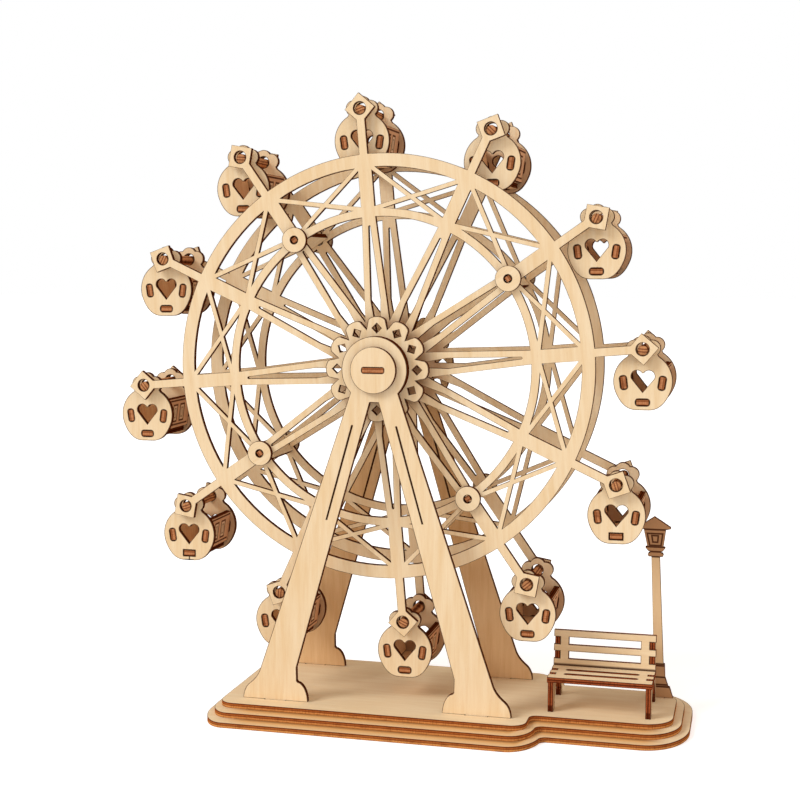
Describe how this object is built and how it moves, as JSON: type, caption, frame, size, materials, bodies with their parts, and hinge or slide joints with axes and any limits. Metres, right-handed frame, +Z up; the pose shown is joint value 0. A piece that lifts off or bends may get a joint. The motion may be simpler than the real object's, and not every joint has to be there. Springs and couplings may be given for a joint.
{
  "type": "ferris wheel model",
  "caption": "Tabletop ferris wheel model of interlocking laser-cut plywood, with swinging heart-pattern gondolas, a stepped base, a park bench and a street lamp.",
  "frame": {"origin": "on the underside of the base, straight below the wheel's hub", "axes": "+Z up, +X to the right seen from the front, towards the bench and the lamp, +Y to the back along the wheel's axle"},
  "size_m": [0.2297, 0.0982, 0.2427],
  "materials": {
    "pale_sheet": "matt, bare",
    "base_sheet": "matt, bare, browned edges",
    "cut_edge": "matt, laser-browned"
  },
  "bodies": {
    "stand": {"base_bottom_plate": "base_sheet", "base_middle_plate": "base_sheet", "base_top_plate": "base_sheet", "front_a_frame": "pale_sheet", "rear_a_frame": "pale_sheet", "axle_long_blade": "cut_edge", "axle_cross_blade": "cut_edge", "front_hub_collar": "pale_sheet", "front_rosette": "pale_sheet", "front_head_disc": "pale_sheet", "front_axle_cap": "pale_sheet", "rear_hub_collar": "pale_sheet", "rear_rosette": "pale_sheet", "rear_head_disc": "pale_sheet", "rear_axle_cap": "pale_sheet", "bench_seat": "pale_sheet", "bench_back": "pale_sheet", "bench_side_left": "pale_sheet", "bench_side_right": "pale_sheet", "street_lamp": "pale_sheet"},
    "wheel": {"front_wheel_plate": "pale_sheet", "rear_wheel_plate": "pale_sheet", "wheel_plank_01": "cut_edge", "wheel_plank_02": "cut_edge", "wheel_plank_03": "cut_edge", "wheel_plank_04": "cut_edge", "front_washer_01": "pale_sheet", "front_washer_02": "pale_sheet", "front_washer_03": "pale_sheet", "front_washer_04": "pale_sheet", "rear_washer_01": "pale_sheet", "rear_washer_02": "pale_sheet", "rear_washer_03": "pale_sheet", "rear_washer_04": "pale_sheet"},
    "gondola_01": {"gondola_01_cabin": "pale_sheet", "gondola_01_pin": "cut_edge"},
    "gondola_02": {"gondola_02_cabin": "pale_sheet", "gondola_02_pin": "cut_edge"},
    "gondola_03": {"gondola_03_cabin": "pale_sheet", "gondola_03_pin": "cut_edge"},
    "gondola_04": {"gondola_04_cabin": "pale_sheet", "gondola_04_pin": "cut_edge"},
    "gondola_05": {"gondola_05_cabin": "pale_sheet", "gondola_05_pin": "cut_edge"},
    "gondola_06": {"gondola_06_cabin": "pale_sheet", "gondola_06_pin": "cut_edge"},
    "gondola_07": {"gondola_07_cabin": "pale_sheet", "gondola_07_pin": "cut_edge"},
    "gondola_08": {"gondola_08_cabin": "pale_sheet", "gondola_08_pin": "cut_edge"},
    "gondola_09": {"gondola_09_cabin": "pale_sheet", "gondola_09_pin": "cut_edge"},
    "gondola_10": {"gondola_10_cabin": "pale_sheet", "gondola_10_pin": "cut_edge"},
    "gondola_11": {"gondola_11_cabin": "pale_sheet", "gondola_11_pin": "cut_edge"},
    "gondola_12": {"gondola_12_cabin": "pale_sheet", "gondola_12_pin": "cut_edge"}
  },
  "joints": [
    {"name": "wheel_spin", "type": "hinge", "parent": "stand", "child": "wheel", "pos_m": [0, 0, 0.1372], "axis": [0, 1, 0], "continuous": true},
    {"name": "gondola_01_swing", "type": "hinge", "parent": "wheel", "child": "gondola_01", "pos_m": [-0.00872, 0, 0.23682], "axis": [0, 1, 0], "continuous": true},
    {"name": "gondola_02_swing", "type": "hinge", "parent": "wheel", "child": "gondola_02", "pos_m": [0.04226, 0, 0.22783], "axis": [0, 1, 0], "continuous": true},
    {"name": "gondola_03_swing", "type": "hinge", "parent": "wheel", "child": "gondola_03", "pos_m": [0.08192, 0, 0.19456], "axis": [0, 1, 0], "continuous": true},
    {"name": "gondola_04_swing", "type": "hinge", "parent": "wheel", "child": "gondola_04", "pos_m": [0.09962, 0, 0.14592], "axis": [0, 1, 0], "continuous": true},
    {"name": "gondola_05_swing", "type": "hinge", "parent": "wheel", "child": "gondola_05", "pos_m": [0.09063, 0, 0.09494], "axis": [0, 1, 0], "continuous": true},
    {"name": "gondola_06_swing", "type": "hinge", "parent": "wheel", "child": "gondola_06", "pos_m": [0.05736, 0, 0.05528], "axis": [0, 1, 0], "continuous": true},
    {"name": "gondola_07_swing", "type": "hinge", "parent": "wheel", "child": "gondola_07", "pos_m": [0.00872, 0, 0.03758], "axis": [0, 1, 0], "continuous": true},
    {"name": "gondola_08_swing", "type": "hinge", "parent": "wheel", "child": "gondola_08", "pos_m": [-0.04226, 0, 0.04657], "axis": [0, 1, 0], "continuous": true},
    {"name": "gondola_09_swing", "type": "hinge", "parent": "wheel", "child": "gondola_09", "pos_m": [-0.08192, 0, 0.07984], "axis": [0, 1, 0], "continuous": true},
    {"name": "gondola_10_swing", "type": "hinge", "parent": "wheel", "child": "gondola_10", "pos_m": [-0.09962, 0, 0.12848], "axis": [0, 1, 0], "continuous": true},
    {"name": "gondola_11_swing", "type": "hinge", "parent": "wheel", "child": "gondola_11", "pos_m": [-0.09063, 0, 0.17946], "axis": [0, 1, 0], "continuous": true},
    {"name": "gondola_12_swing", "type": "hinge", "parent": "wheel", "child": "gondola_12", "pos_m": [-0.05736, 0, 0.21912], "axis": [0, 1, 0], "continuous": true}
  ],
  "couplings": [
    {"joint": "gondola_01_swing", "follows": "wheel_spin", "ratio": -1},
    {"joint": "gondola_02_swing", "follows": "wheel_spin", "ratio": -1},
    {"joint": "gondola_03_swing", "follows": "wheel_spin", "ratio": -1},
    {"joint": "gondola_04_swing", "follows": "wheel_spin", "ratio": -1},
    {"joint": "gondola_05_swing", "follows": "wheel_spin", "ratio": -1},
    {"joint": "gondola_06_swing", "follows": "wheel_spin", "ratio": -1},
    {"joint": "gondola_07_swing", "follows": "wheel_spin", "ratio": -1},
    {"joint": "gondola_08_swing", "follows": "wheel_spin", "ratio": -1},
    {"joint": "gondola_09_swing", "follows": "wheel_spin", "ratio": -1},
    {"joint": "gondola_10_swing", "follows": "wheel_spin", "ratio": -1},
    {"joint": "gondola_11_swing", "follows": "wheel_spin", "ratio": -1},
    {"joint": "gondola_12_swing", "follows": "wheel_spin", "ratio": -1}
  ]
}
